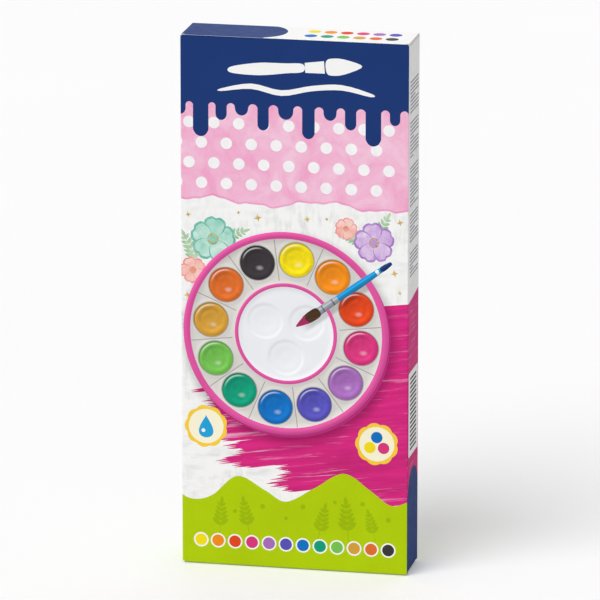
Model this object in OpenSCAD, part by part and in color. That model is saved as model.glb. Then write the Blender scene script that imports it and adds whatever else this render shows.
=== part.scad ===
// Twelve-colour opaque paint set: a tuck-lid carton with the plastic paint box inside it.
// Millimetres, +Z up. The carton stands on its glued base, its front faces -Y, and the origin is
// the centre of the base. The paint box is drawn flat in its own frame, and in_carton() stands it up.

/* [Board] */
// Thickness of the carton board
board_t = 0.5; // [0.4:0.05:0.6]
// Inner radius of every fold
fold_r = 0.25; // [0.2:0.05:0.4]

/* [Pans and paints] */
// Diameter of one paint tablet
tablet_d = 31; // [28:0.5:32]
// Height of one paint tablet
tablet_h = 4.2; // [3.4:0.2:4.6]
// Length of one pan along its row
pan_l = 35.8; // [35:0.2:40]
// Width of one pan across its row
pan_w = 43; // [41:0.5:48]
// Height of a pan, from its foot to its top plate
pan_h = 11; // [9.5:0.25:13]
// Wall of a pan
pan_wall = 1.2; // [0.8:0.1:1.4]
// Depth of the cup that holds a tablet
cup_depth = 4.8; // [4.6:0.1:5.6]
// Width of the sloping shoulders along a pan's long sides
shoulder_w = 3.4; // [2:0.2:4.2]

/* [Tray] */
// Outer wall of the tray
tray_wall = 1.6; // [1.4:0.1:2.2]
// Floor of the tray
tray_floor = 1.4; // [1:0.1:2]
// Width of the inner ledge along both long walls
ledge_w = 2.05; // [1.5:0.05:4]
// Width of the middle rib with its brush groove
rib_w = 7; // [6:0.25:10]
// Height of the tray's rim above the pans
rim_rise = 1.2; // [0.8:0.1:2.5]
// Corner radius of the paint box, seen from above
corner_r = 5; // [3.5:0.5:8]
// Radius along the paint box's outer edges
edge_r = 1.3; // [0.6:0.1:1.6]

/* [Palette lid] */
// Wall of the lid's skirt
lid_wall = 1.4; // [1.3:0.1:2]
// Top plate of the lid
lid_top = 1.4; // [1:0.1:2]
// Depth of the room under the lid
lid_depth = 7.2; // [6.5:0.1:10]
// Height of the rims round the mixing wells
well_h = 2.2; // [1:0.1:3]
// Inner radius of the mixing wells
well_r = 19; // [15:0.5:20]

/* [Paint tube] */
// Diameter of the tube at its shoulder
tube_d = 14.5; // [12:0.25:15]
// Length of the tube's body, from crimp to shoulder
tube_l = 62; // [50:1:66]
// Diameter of the cap
cap_d = 12; // [11:0.25:12.5]
// Length of the cap
cap_l = 13; // [11:0.5:15]

/* [Flaps and clearances] */
// Length of the tuck tab
tab_l = 13.5; // [10:0.5:18]
// Length of the dust flaps
dust_l = 22; // [18:0.5:28]
// Width of the glue flap inside the back panel
glue_w = 14; // [10:0.5:20]
// Space between the paint box and each side panel
side_clear = 0.5; // [0.3:0.05:1]
// Space between the paint box and the tuck tab
front_clear = 0.3; // [0.2:0.05:0.8]
// Space between the paint box and the glue flap
back_clear = 0.35; // [0.2:0.05:0.8]
// Space between the paint box and the top dust flaps
headspace = 1.47; // [1.3:0.01:3]

/* [Hidden] */
$fn = 48;

// Small gaps that let neighbours move or be put together
tab_gap = 0.15;     // tuck tab to front panel
flap_gap = 0.05;    // lid panel to dust flaps
crease_gap = 0.03;  // a flap's round root to the panel below it
front_drop = 0.1;   // lid's top to the front panel's edge
edge_in = 0.4;      // flaps' raw edges inside the carton's outline
pan_gap = 0.4;      // round each pan
cup_gap = 0.15;     // tablet to cup, on the radius
bay_gap = 0.5;      // tube's crimp to the walls of its bay
seat_gap = 0.3;     // tube and cap to their saddles
lip_gap = 0.2;      // lid's skirt to the tray's lip
running_gap = 0.1;  // hinge pegs and tube neck in their holes, on the radius
hinge_gap = 0.2;    // between hinge knuckles
sink = 0.1;         // how far a joined piece runs into what carries it

// Paints in order: the row at the hinge, then the row at the front, each from the foot up
PAINTS = [
    ["yellow", "#f6df1a"], ["orange", "#f08a1e"], ["red", "#e4431f"],
    ["magenta", "#d42a74"], ["violet", "#a265b6"], ["ultramarine", "#5a50b5"],
    ["blue", "#0d6fbe"], ["turquoise", "#149d7a"], ["green", "#72c04b"],
    ["ochre", "#d29b3c"], ["sienna", "#dd6b2b"], ["black", "#3b3637"],
];
pans_per_row = len(PAINTS) / 2;

// Colours
board_white = "#f3f1ef";
tray_pink = "#e0559d";
pan_grey = "#d9d6d1";
lid_white = "#f4f6fa";
tube_blue = "#2f8fcb";
cap_grey = "#e4e3e1";

// Paint box, worked out from what it holds
tray_h = tray_floor + pan_h + rim_rise;
lid_h = lid_depth + lid_top;
box_h = tray_h + lid_h;
bay_wall = tray_wall - 0.2;
crimp_w = PI * tube_d / 2;                // a flattened tube is half its girth wide
tube_bay = crimp_w + 2 * bay_gap;
row_l = pans_per_row * pan_l + (pans_per_row + 1) * pan_gap;
row_w = pan_w + 2 * pan_gap;
box_l = 2 * tray_wall + row_l + bay_wall + tube_bay;
shell_w = 2 * tray_wall + 2 * ledge_w + 2 * row_w + rib_w;
bay_x = tray_wall + row_l;                // the bay wall's face towards the pans
row_y = (rib_w + row_w) / 2;              // middle of a row, from the box's middle

// Tray's lip inside the lid's skirt, and the ledges level with the pans' shoulders
lip_in = lid_wall / 2 + lip_gap;
lip_h = 1.4;
shoulder_drop = 0.62 * shoulder_w;
ledge_h = pan_h - shoulder_drop;

// Brush groove along the middle rib
groove_r = 0.32 * rib_w;
groove_depth = 0.23 * rib_w;
groove_in = 4;

// Hinge on the long side at +y, with its axis just outside the walls
barrel_r = 1.9;
barrel_out = 0.2;
peg_r = 0.9;
peg_l = 3;
knuckle_l = 8;
side_knuckle_l = 5;
station_in = 45;                          // hinge stations from the box's ends
gusset_h = barrel_r + 2.5;
hinge_out = barrel_out + barrel_r;

// Cup in its pan
cup_r = tablet_d / 2 + cup_gap;
cup_floor_z = pan_h - cup_depth;
bead_r = 0.45;

// Tube along the bay, its cap towards the hinge
shoulder_l = 3;
neck_r = 0.31 * cap_d;
neck_l = cap_l - 3;
crimp_t = 1;
crimp_l = 5;
cap_rise = 0.2;                                // cap's open end clear of the shoulder
tube_z = tray_floor + 1.6 + tube_d / 2;
tube_x = bay_x + bay_wall + tube_bay / 2;
tube_y0 = -(tube_l + shoulder_l + cap_l) / 2;  // crimp end
cap_y0 = tube_y0 + tube_l + shoulder_l + cap_rise;

// Carton, worked out from the paint box
fold_ro = fold_r + board_t;
carton_w = shell_w + hinge_out + 2 * side_clear + 2 * board_t;
carton_d = 3 * board_t + tab_gap + front_clear + box_h + back_clear + board_t;
box_z0 = 3 * board_t;                          // on the bottom dust flaps
dust_z = box_z0 + box_l + headspace;           // underside of the top dust flaps
lid_z = dust_z + board_t + flap_gap;           // underside of the lid panel
carton_h = lid_z + board_t;
half_w = carton_w / 2;
half_d = carton_d / 2;
fold_x = half_w - fold_ro;                     // where the folds along the front and back end
fold_y = half_d - fold_ro;
tab_y = -half_d + board_t + tab_gap;           // outer face of the tuck tab
box_back_y = half_d - 2 * board_t - back_clear;
crease_y = half_d - board_t / 2;               // lid's crease, at the middle of the board
crease_x = half_w - board_t / 2;               // dust flaps' creases

// Dust flaps, cut back towards the lid's crease so that they rise at half the lid's angle
dust_front = tab_y + board_t + 0.25;
dust_rear = half_d - 1.5;
dust_slope = 0.53;
dust_corner = 3;

// Glue flap's ends, from the carton's ends
glue_end = 6;
glue_slant = 4;

// ---------- Shared shapes ----------

// Cylinders along X and Y
module rod_x(r, l) { rotate([0, 90, 0]) cylinder(r = r, h = l); }
module rod_y(r, l) { rotate([-90, 0, 0]) cylinder(r = r, h = l); }

// Folded edge of board along +Z, of length l: the quarter ring about Z where X and Y are negative
module fold(l) {
    linear_extrude(l)
        difference() {
            intersection() {
                circle(fold_ro);
                translate([-fold_ro, -fold_ro]) square(fold_ro);
            }
            circle(fold_r);
        }
}

// The same along +X, where Y and Z are negative, and along +Y, where X and Z are negative
module fold_along_x(l) { rotate([90, 0, 90]) fold(l); }
module fold_along_y(l) { translate([0, l, 0]) rotate([90, 0, 0]) fold(l); }

// ---------- Carton ----------

// Wide sheet of the wall at -Y, between x0 and x1 and between z0 and z1
module wide_sheet(x0, x1, z0, z1) {
    translate([x0, -half_d, z0]) cube([x1 - x0, board_t, z1 - z0]);
}

// Narrow sheet of the wall at -X, between y0 and y1 and between z0 and z1
module side_sheet(y0, y1, z0, z1) {
    translate([-half_w, y0, z0]) cube([board_t, y1 - y0, z1 - z0]);
}

// Upright folded corner at -X and -Y
module corner_fold() {
    z1 = lid_z - 2 * flap_gap;
    translate([-fold_x, -fold_y, fold_ro]) fold(z1 - fold_ro);
}

module front_panel() {
    color(board_white) wide_sheet(-fold_x, fold_x, fold_ro, carton_h - front_drop);
}

// Its left edge is the raw edge that laps the glue flap
module back_panel() {
    color(board_white)
        mirror([0, 1, 0])
            wide_sheet(-half_w, fold_x, board_t + fold_ro, carton_h - board_t - crease_gap);
}

// Narrow panel at +X, with the folded corners that join it to the front and the back
module right_side_panel() {
    color(board_white)
        mirror([1, 0, 0]) {
            side_sheet(-fold_y, fold_y, 2 * board_t + fold_ro, dust_z - crease_gap);
            corner_fold();
            mirror([0, 1, 0]) corner_fold();
        }
}

// Narrow panel at -X, whose rear edge folds in under the back panel and becomes the glue flap
module left_side_panel() {
    seam_y = fold_y - board_t;
    raw_y = half_d - board_t;
    z0 = 2 * board_t + fold_ro;
    z1 = dust_z - crease_gap;
    color(board_white) {
        side_sheet(-fold_y, seam_y, z0, z1);
        corner_fold();
        translate([-fold_x, seam_y, glue_end])
            mirror([0, 1, 0]) fold(carton_h - 2 * glue_end);
        side_sheet(seam_y, raw_y, z0, glue_end);
        side_sheet(seam_y, raw_y, carton_h - glue_end, z1);
    }
}

// Strip with slanted ends, glued inside the back panel
module glue_flap() {
    color(board_white)
        translate([-fold_x, half_d - board_t, 0])
            rotate([90, 0, 0])
                linear_extrude(board_t)
                    polygon([
                        [0, glue_end], [glue_w, glue_end + glue_slant],
                        [glue_w, carton_h - glue_end - glue_slant], [0, carton_h - glue_end],
                    ]);
}

// Outline of a dust flap, with its crease on the Y axis and its tip at +X
module dust_outline() {
    tip_front = dust_front + 0.5;
    tip_rear = dust_rear - dust_slope * dust_l;
    polygon([
        [0, dust_front], [dust_l - dust_corner, tip_front], [dust_l, tip_front + dust_corner],
        [dust_l, tip_rear - dust_corner], [dust_l - dust_corner, tip_rear + dust_slope * dust_corner],
        [0, dust_rear],
    ]);
}

// Flap that turns on the left panel's top edge, with a round root on its crease
module top_dust_flap() {
    color(board_white)
        translate([-crease_x, 0, dust_z]) {
            linear_extrude(board_t) dust_outline();
            translate([0, dust_front, board_t / 2]) rod_y(board_t / 2, dust_rear - dust_front);
        }
}

// Flap folded in from the left panel's bottom edge and glued down
module bottom_dust_flap() {
    color(board_white)
        translate([-fold_x, 0, 2 * board_t]) {
            linear_extrude(board_t) dust_outline();
            translate([0, dust_front, fold_ro]) fold_along_y(dust_rear - dust_front);
        }
}

// Closing flap folded in from the bottom edge of the wall at -Y, at height z0
module bottom_flap(z0, reach) {
    flap_w = 2 * (fold_x - edge_in / 2);
    translate([-flap_w / 2, -fold_y, z0]) {
        cube([flap_w, reach - fold_ro, board_t]);
        translate([0, 0, fold_ro]) fold_along_x(flap_w);
    }
}

module bottom_outer_flap() {
    color(board_white) bottom_flap(0, carton_d - edge_in);
}

module bottom_inner_flap() {
    color(board_white) mirror([0, 1, 0]) bottom_flap(board_t, carton_d - 5 * edge_in);
}

// Lid panel with a round root on its crease, at the top of the back panel
module top_lid_panel() {
    lid_w = carton_w - 2 * edge_in;
    lid_y0 = tab_y + fold_ro;
    color(board_white)
        translate([-lid_w / 2, 0, lid_z]) {
            translate([0, lid_y0, 0]) cube([lid_w, crease_y - lid_y0, board_t]);
            translate([0, crease_y, board_t / 2]) rod_x(board_t / 2, lid_w);
        }
}

// Tab with round corners, folded down from the lid panel and tucked in behind the front panel
module top_tuck_tab() {
    tab_w = carton_w - 2 * edge_in - 3;
    tip_r = 7;
    color(board_white)
        translate([0, tab_y, carton_h - fold_ro]) {
            translate([-tab_w / 2, fold_ro, 0]) mirror([0, 0, 1]) fold_along_x(tab_w);
            translate([0, board_t, 0])
                rotate([90, 0, 0])
                    linear_extrude(board_t) {
                        translate([-tab_w / 2, tip_r - tab_l]) square([tab_w, tab_l - tip_r]);
                        translate([tip_r - tab_w / 2, -tab_l]) square([tab_w - 2 * tip_r, tab_l]);
                        for (x = [tip_r - tab_w / 2, tab_w / 2 - tip_r])
                            translate([x, tip_r - tab_l]) circle(tip_r);
                    }
        }
}

// ---------- Paint box, flat: X along it, +Y towards its hinge, Z up from its underside ----------

// Stands the paint box in the carton, its foot down, its lid to the front and its hinge to the left
module in_carton() {
    translate([hinge_out / 2, box_back_y, box_z0]) rotate([0, -90, 90]) children();
}

// Plan of the paint box, drawn in by inset, as a slab with square edges
module box_slab(h, inset) {
    r = corner_r - inset;
    l = box_l - 2 * inset;
    w = shell_w - 2 * inset;
    translate([box_l / 2, 0, 0])
        linear_extrude(h) {
            square([l - 2 * r, w], center = true);
            square([l, w - 2 * r], center = true);
            for (x = [r - l / 2, l / 2 - r], y = [r - w / 2, w / 2 - r])
                translate([x, y]) circle(r);
        }
}

// Section through the paint box's rounded top edge, from a corner's centre outward
module edge_section(h) {
    square([corner_r - edge_r, h]);
    square([corner_r, h - edge_r]);
    translate([corner_r - edge_r, h - edge_r]) circle(edge_r);
}

// Whole plan of the paint box as a slab with a rounded top edge: straight sides between revolved
// corners, round a plain middle
module moulded_slab(h) {
    cx = box_l / 2 - corner_r;
    cy = shell_w / 2 - corner_r;
    translate([box_l / 2, 0, 0]) {
        linear_extrude(h) square([2 * cx, 2 * cy], center = true);
        for (mx = [0, 1])
            mirror([mx, 0, 0]) {
                translate([cx, cy, 0]) rotate([90, 0, 0]) linear_extrude(2 * cy) edge_section(h);
                for (my = [0, 1])
                    mirror([0, my, 0])
                        translate([cx, cy, 0]) rotate_extrude(angle = 90) edge_section(h);
            }
        for (my = [0, 1])
            mirror([0, my, 0])
                translate([-cx, cy, 0]) rotate([90, 0, 90]) linear_extrude(2 * cx) edge_section(h);
    }
}

// Puts something at both hinge stations, centred on the station
module at_hinges() {
    for (x = [station_in, box_l - station_in])
        translate([x, shell_w / 2 + barrel_out, tray_h]) children();
}

// Knuckle of length l from x0 on: a barrel, and a gusset up (+1) or down (-1) the wall
module knuckle(x0, l, way) {
    wall_y = -barrel_out - 0.6;
    translate([x0, 0, 0]) {
        rod_x(barrel_r, l);
        rotate([90, 0, 90])
            linear_extrude(l)
                polygon([
                    [wall_y, 0], [barrel_r, 0], [barrel_r, way * 0.4],
                    [-barrel_out, way * gusset_h], [wall_y, way * gusset_h],
                ]);
    }
}

// Room for a knuckle in the wall that it faces
module knuckle_room(x0, l) {
    translate([x0 - hinge_gap, 0, 0]) rod_x(barrel_r + hinge_gap, l + 2 * hinge_gap);
}

// Steps along both long walls, beside the pans
module ledges() {
    for (side = [0, 1])
        mirror([0, side, 0])
            translate([
                tray_wall - sink,
                shell_w / 2 - tray_wall - ledge_w,
                tray_floor - sink,
            ])
                cube([row_l + 2 * sink, ledge_w + sink, ledge_h + sink]);
}

// Middle rib between the rows, as high as the rim, with a groove on top where a brush lies
module middle_rib() {
    difference() {
        translate([tray_wall - sink, -rib_w / 2, tray_floor - sink])
            cube([row_l + 2 * sink, rib_w, tray_h - tray_floor + sink]);
        translate([tray_wall + groove_in, 0, tray_h + groove_r - groove_depth])
            rod_x(groove_r, row_l - 2 * groove_in);
    }
}

// Hollow under the rib, open below, as a moulding has it
module rib_hollow() {
    wall = tray_wall - 0.2;
    end_in = tray_wall + groove_in + 2;
    translate([end_in, wall - rib_w / 2, -1])
        cube([bay_x - tray_wall - 2 * groove_in - 4, rib_w - 2 * wall, tray_h - groove_depth - wall + 1]);
}

// Wall between the pans and the tube's bay, dipped in the middle for a finger
module bay_divider() {
    dip_r = 16;
    dip_depth = 7;
    difference() {
        translate([bay_x, -shell_w / 2 + tray_wall - sink, tray_floor - sink])
            cube([bay_wall, shell_w - 2 * tray_wall + 2 * sink, pan_h + sink]);
        translate([bay_x - 1, 0, tray_floor + pan_h + dip_r - dip_depth]) rod_x(dip_r, bay_wall + 2);
    }
}

// How far the tube has opened at y, from flat (0) at its crimp to round (1) at its shoulder
function tube_share(y) = min(max((y - tube_y0 - crimp_l) / (tube_l - crimp_l), 0), 1);

// Room for a stretch of the tube from y0 to y1, with a gap all round
module tube_room(y0, y1) {
    flat = (1 - tube_share(y0)) * crimp_w / 2;
    r = tube_share(y1) * tube_d / 2 + seat_gap;
    for (side = [-1, 1])
        translate([tube_x + side * flat, y0, tube_z]) rod_y(r, y1 - y0);
    translate([tube_x - flat, y0, tube_z - r]) cube([2 * flat, y1 - y0, 2 * r]);
}

// Ribs across the bay: a low rest under the tube's flat end, and cradles for its body and its cap
module tube_saddles() {
    saddle_t = 2;
    rest_y = tube_y0 + 8;
    body_y = cap_y0 - shoulder_l - 5;
    cap_mid_y = cap_y0 + 0.6 * cap_l;
    rest_half_t = (crimp_t + tube_share(rest_y + saddle_t / 2) * (tube_d - crimp_t)) / 2;
    difference() {
        for (saddle = [
            [rest_y, tube_z - rest_half_t - seat_gap],
            [body_y, tube_z],
            [cap_mid_y, tube_z],
        ])
            translate([bay_x + bay_wall - sink, saddle[0] - saddle_t / 2, tray_floor - sink])
                cube([tube_bay + 2 * sink, saddle_t, saddle[1] - tray_floor + sink]);
        tube_room(body_y - saddle_t, body_y + saddle_t);
        translate([tube_x, cap_mid_y - saddle_t, tube_z]) rod_y(cap_d / 2 + seat_gap, 2 * saddle_t);
    }
}

// Shallow hollow for a thumb in the front wall, under the lid's edge
module thumb_scoop() {
    scoop_r = 30;
    scoop_depth = 0.8;
    translate([box_l / 2, -shell_w / 2 - scoop_r + scoop_depth, tray_h - 5])
        cylinder(r = scoop_r, h = 4.2, $fn = 96);
}

module paint_tray() {
    color(tray_pink)
        difference() {
            union() {
                difference() {
                    union() {
                        translate([0, 0, tray_h]) mirror([0, 0, 1]) moulded_slab(tray_h);
                        box_slab(tray_h + lip_h, lip_in);
                    }
                    translate([0, 0, tray_floor]) box_slab(box_h, tray_wall);
                }
                ledges();
                middle_rib();
                bay_divider();
                tube_saddles();
                at_hinges() knuckle(-knuckle_l / 2, knuckle_l, -1);
            }
            rib_hollow();
            thumb_scoop();
            at_hinges() {
                translate([-knuckle_l, 0, 0]) rod_x(peg_r + running_gap, 2 * knuckle_l);
                for (side = [0, 1])
                    mirror([side, 0, 0]) knuckle_room(knuckle_l / 2 + hinge_gap, side_knuckle_l);
            }
        }
}

// Section of a mixing well's rim, radius to +X and hanging down from 0: a thin crest outside, and
// a slope that curves from the crest in to the ceiling
function well_section() =
    let (crest = 1.1, cove = 6)
    concat(
        [[well_r - cove, sink], [well_r + crest, sink], [well_r + crest, -well_h]],
        [for (a = [90:-15:0]) [well_r - cove * (1 - sin(a)), -well_h * (1 - cos(a))]]);

// Mixing well under the lid's ceiling: half rings, with straight sides of length l between them
module mixing_well(l) {
    for (side = [0, 1])
        mirror([side, 0, 0])
            translate([l / 2, 0, 0]) rotate([0, 0, -90])
                rotate_extrude(angle = 180) polygon(well_section());
    if (l > 0)
        for (side = [0, 1])
            mirror([0, side, 0])
                translate([-l / 2, 0, 0]) rotate([90, 0, 90])
                    linear_extrude(l) polygon(well_section());
}

// Two rows of wells: a round one at each end of a row, and a long one between them
module mixing_wells() {
    well_y = shell_w / 4 - 0.8;
    end_x = well_r + 10;
    well_space = 8;
    oval_l = box_l - 2 * (end_x + 2 * well_r + well_space);
    for (y = [-well_y, well_y])
        translate([0, y, tray_h + lid_depth]) {
            translate([end_x, 0, 0]) mixing_well(0);
            translate([box_l - end_x, 0, 0]) mixing_well(0);
            translate([box_l / 2, 0, 0]) mixing_well(oval_l);
        }
}

module palette_lid() {
    peg_x = knuckle_l / 2 + hinge_gap - peg_l;
    color(lid_white)
        difference() {
            union() {
                translate([0, 0, tray_h])
                    difference() {
                        moulded_slab(lid_h);
                        translate([0, 0, -1]) box_slab(lid_depth + 1, lid_wall);
                        translate([0, 0, -1]) box_slab(lip_h + lip_gap + 1, lip_in - lip_gap);
                    }
                mixing_wells();
                at_hinges()
                    for (side = [0, 1])
                        mirror([side, 0, 0]) {
                            knuckle(knuckle_l / 2 + hinge_gap, side_knuckle_l, 1);
                            translate([peg_x, 0, 0]) rod_x(peg_r, peg_l + 1);
                        }
            }
            at_hinges()
                difference() {
                    knuckle_room(-knuckle_l / 2, knuckle_l);
                    translate([-knuckle_l, 0, 0]) rod_x(peg_r, 2 * knuckle_l);
                }
        }
}

// Puts pan number i in its place: the first half of them by the hinge, the rest at the front
module at_pan(i) {
    column = i % pans_per_row;
    row = i < pans_per_row ? 1 : -1;
    translate([
        tray_wall + pan_gap + pan_l / 2 + column * (pan_l + pan_gap),
        row * row_y,
        tray_floor,
    ])
        children();
}

// Section across a pan, drawn in by inset, as a prism of length l centred on its middle
module pan_prism(l, inset) {
    y = pan_w / 2 - inset;
    z = pan_h - inset;
    translate([-l / 2, 0, 0]) rotate([90, 0, 90])
        linear_extrude(l)
            polygon([
                [-y, -inset], [y, -inset], [y, z - shoulder_drop], [y - shoulder_w, z],
                [shoulder_w - y, z], [-y, z - shoulder_drop],
            ]);
}

// Pan moulded as a shell open below, with a round cup sunk into it and a bead round the cup
module pan() {
    color(pan_grey)
        difference() {
            union() {
                difference() {
                    pan_prism(pan_l, 0);
                    pan_prism(pan_l - 2 * pan_wall, pan_wall);
                }
                translate([0, 0, cup_floor_z - pan_wall])
                    cylinder(r = cup_r + pan_wall, h = cup_depth + pan_wall);
                translate([0, 0, pan_h])
                    rotate_extrude() translate([cup_r + bead_r, 0]) circle(bead_r);
            }
            translate([0, 0, cup_floor_z]) cylinder(r = cup_r, h = cup_depth + 2);
        }
}

// Half section of a pressed tablet: a raised rim, a dished ring and a low dome in the middle
function tablet_section() =
    let (r = tablet_d / 2, rim = 1.8, bevel = 0.5, dish = 0.3 * tablet_h, dome = 0.12 * tablet_h,
         dome_r = 0.42 * r, dish_z = tablet_h - dish)
    concat(
        [[0, 0], [r, 0], [r, tablet_h - bevel], [r - bevel, tablet_h], [r - rim, tablet_h]],
        [for (a = [18:18:90]) [dome_r + (r - rim - dome_r) * cos(a), tablet_h - dish * sin(a)]],
        [for (a = [0:18:90]) [(dome_r - bevel) * cos(a), dish_z + 0.3 + dome * sin(a)]]);

module paint_tablet(tint) {
    color(tint) translate([0, 0, cup_floor_z]) rotate_extrude() polygon(tablet_section());
}

// Lays a tube that is drawn along +Z, with its crimp at 0, in the bay
module in_bay() {
    translate([tube_x, tube_y0, tube_z]) rotate([-90, 0, 0]) children();
}

// Metal tube that flattens evenly from its round shoulder to its folded crimp
module tube_body() {
    shoulder_d = 2 * neck_r + 2;
    foil_fold_t = 0.5;             // the flattened tube where the folded strip begins
    color(tube_blue)
        in_bay() {
            hull() {
                translate([0, 0, tube_l - 0.2]) cylinder(d = tube_d, h = 0.2, $fn = 40);
                translate([-crimp_w / 2, -foil_fold_t / 2, crimp_l - sink])
                    cube([crimp_w, foil_fold_t, sink]);
            }
            translate([-crimp_w / 2, -crimp_t / 2, 0]) cube([crimp_w, crimp_t, crimp_l]);
            translate([0, 0, tube_l]) cylinder(d1 = tube_d, d2 = shoulder_d, h = shoulder_l);
            translate([0, 0, tube_l]) cylinder(r = neck_r, h = shoulder_l + neck_l);
        }
}

// Screw cap with grip ribs
module tube_cap() {
    ribs = 20;
    rib_r = 0.4;
    round_r = 1.2;
    wall_r = cap_d / 2 - rib_r;
    bore_r = neck_r + running_gap;
    bore_l = neck_l + 0.3;
    color(cap_grey)
        in_bay()
            translate([0, 0, cap_y0 - tube_y0]) {
                rotate_extrude()
                    polygon(concat(
                        [[bore_r, 0], [wall_r, 0]],
                        [for (a = [0:15:90])
                            [wall_r - round_r * (1 - cos(a)), cap_l - round_r * (1 - sin(a))]],
                        [[0, cap_l], [0, bore_l], [bore_r, bore_l]]));
                for (i = [0:ribs - 1])
                    rotate([0, 0, i * 360 / ribs])
                        translate([wall_r, 0, 0.8]) cylinder(r = rib_r, h = cap_l - 3, $fn = 16);
            }
}

// ---------- Nodes ----------

front_panel();
back_panel();
left_side_panel();
right_side_panel();
glue_flap();
bottom_outer_flap();
bottom_inner_flap();
bottom_dust_flap();  // bottom_dust_flap_left
mirror([1, 0, 0]) bottom_dust_flap();  // bottom_dust_flap_right
top_lid_panel();
top_tuck_tab();
top_dust_flap();  // top_dust_flap_left
mirror([1, 0, 0]) top_dust_flap();  // top_dust_flap_right
in_carton() paint_tray();
in_carton() palette_lid();
in_carton() tube_body();
in_carton() tube_cap();
for (i = [0:len(PAINTS) - 1]) {
    in_carton() at_pan(i) pan();
    in_carton() at_pan(i) paint_tablet(PAINTS[i][1]);
}
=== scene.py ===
import random
from math import atan2, cos, degrees, hypot, pi, radians, sin

import bpy
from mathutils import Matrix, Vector, geometry


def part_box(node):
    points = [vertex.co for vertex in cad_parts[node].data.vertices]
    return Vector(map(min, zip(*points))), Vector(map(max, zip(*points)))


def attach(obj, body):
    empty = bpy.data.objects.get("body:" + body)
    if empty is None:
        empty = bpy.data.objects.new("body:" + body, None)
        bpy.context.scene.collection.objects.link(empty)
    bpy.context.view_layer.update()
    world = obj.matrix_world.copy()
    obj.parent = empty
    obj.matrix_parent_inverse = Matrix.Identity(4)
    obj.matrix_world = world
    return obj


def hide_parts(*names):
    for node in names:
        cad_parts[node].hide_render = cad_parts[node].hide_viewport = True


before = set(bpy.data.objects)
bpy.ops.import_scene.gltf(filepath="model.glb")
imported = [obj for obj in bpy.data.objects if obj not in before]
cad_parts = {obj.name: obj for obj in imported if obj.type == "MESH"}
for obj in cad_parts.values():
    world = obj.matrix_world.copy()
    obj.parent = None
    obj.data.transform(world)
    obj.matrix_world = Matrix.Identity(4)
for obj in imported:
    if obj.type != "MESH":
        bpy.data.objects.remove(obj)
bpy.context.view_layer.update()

MM = 0.001
PRINT_T = 0.04                       # ink and coating over the board

# ---------- The carton's measures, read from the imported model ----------


def box_mm(node):
    """A CAD node's lowest and highest corner in millimetres."""
    return [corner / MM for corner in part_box(node)]


front_lo, front_hi = box_mm("front_panel")
back_lo, back_hi = box_mm("back_panel")
side_lo, side_hi = box_mm("right_side_panel")
lid_lo, lid_hi = box_mm("top_lid_panel")
tab_lo, tab_hi = box_mm("top_tuck_tab")
base_lo, base_hi = box_mm("bottom_outer_flap")

BOARD_T = front_hi.y - front_lo.y
HALF_W = side_hi.x
HALF_D = back_hi.y
FOLD_X = front_hi.x                  # where the upright folds begin on the front and back
FOLD_R = HALF_W - FOLD_X             # outer radius of the folds
FOLD_Y = HALF_D - FOLD_R
SEAM_Y = FOLD_Y - BOARD_T            # the left panel's rear fold, under the back panel
FOLD_ARC = FOLD_R * pi / 2
SIDE_Z0 = box_mm("bottom_dust_flap_right")[1].z      # a side's flat part, between its dust flaps
SIDE_Z1 = box_mm("top_dust_flap_right")[0].z - 0.03
CARTON_H = lid_hi.z

# ---------- Paths: how a flat sheet runs round the carton ----------

FOLD_STEPS, FOLD_MARGIN = 4, 0.15    # a fold's facets, and how far beside it the sheet has an edge


def fold_cuts(start):
    """Where a sheet needs edges for the fold that begins at start: along it, and close beside it."""
    along = [start + FOLD_ARC * k / FOLD_STEPS for k in range(FOLD_STEPS + 1)]
    return [start - FOLD_MARGIN] + along + [start + FOLD_ARC + FOLD_MARGIN]


class Path:
    """An outline seen from above, of straight runs and folds to the left. The sheet's outside is on
    its right, and a place on it is given by the length u that leads there."""

    def __init__(self, start_u, x, y, heading):
        self.u, self.x, self.y, self.a = start_u, x, y, radians(heading)
        self.runs = []

    def run(self, length, turn=0.0):
        self.runs.append((self.u, self.u + length, self.x, self.y, self.a, turn))
        self.u += length
        self.x, self.y = self.at(self.u, 0)
        self.a += turn
        return self

    def fold(self):
        return self.run(FOLD_ARC, pi / 2)

    def at(self, u, depth):
        """The point at u, depth below the outer face."""
        u0, _, x, y, a, turn = next(r for r in self.runs if u <= r[1] or r is self.runs[-1])
        s = u - u0
        if not turn:
            return (x + s * cos(a) - depth * sin(a),
                    y + s * sin(a) + depth * cos(a))
        cx, cy = x - FOLD_R * sin(a), y + FOLD_R * cos(a)
        a += s / FOLD_R
        return cx + (FOLD_R - depth) * sin(a), cy - (FOLD_R - depth) * cos(a)

    def cuts(self):
        return [u for run in self.runs if run[-1] for u in fold_cuts(run[0])]


# Sleeve, from the seam round the left side, the front, the right side and the back. On it u is 0 at
# the middle of the front.
LEFT_U = -FOLD_X - FOLD_ARC - (FOLD_Y + SEAM_Y)
sleeve = Path(LEFT_U - FOLD_ARC, -FOLD_X, SEAM_Y + FOLD_R, 180).fold()
sleeve.run(FOLD_Y + SEAM_Y).fold().run(2 * FOLD_X).fold()
sleeve.run(2 * FOLD_Y).fold().run(FOLD_X + HALF_W)
RIGHT_U = FOLD_X + FOLD_ARC          # the right panel's flat part begins
RIGHT_END = RIGHT_U + 2 * FOLD_Y
BACK_U = RIGHT_END + FOLD_ARC
END_U = BACK_U + FOLD_X + HALF_W


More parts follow.
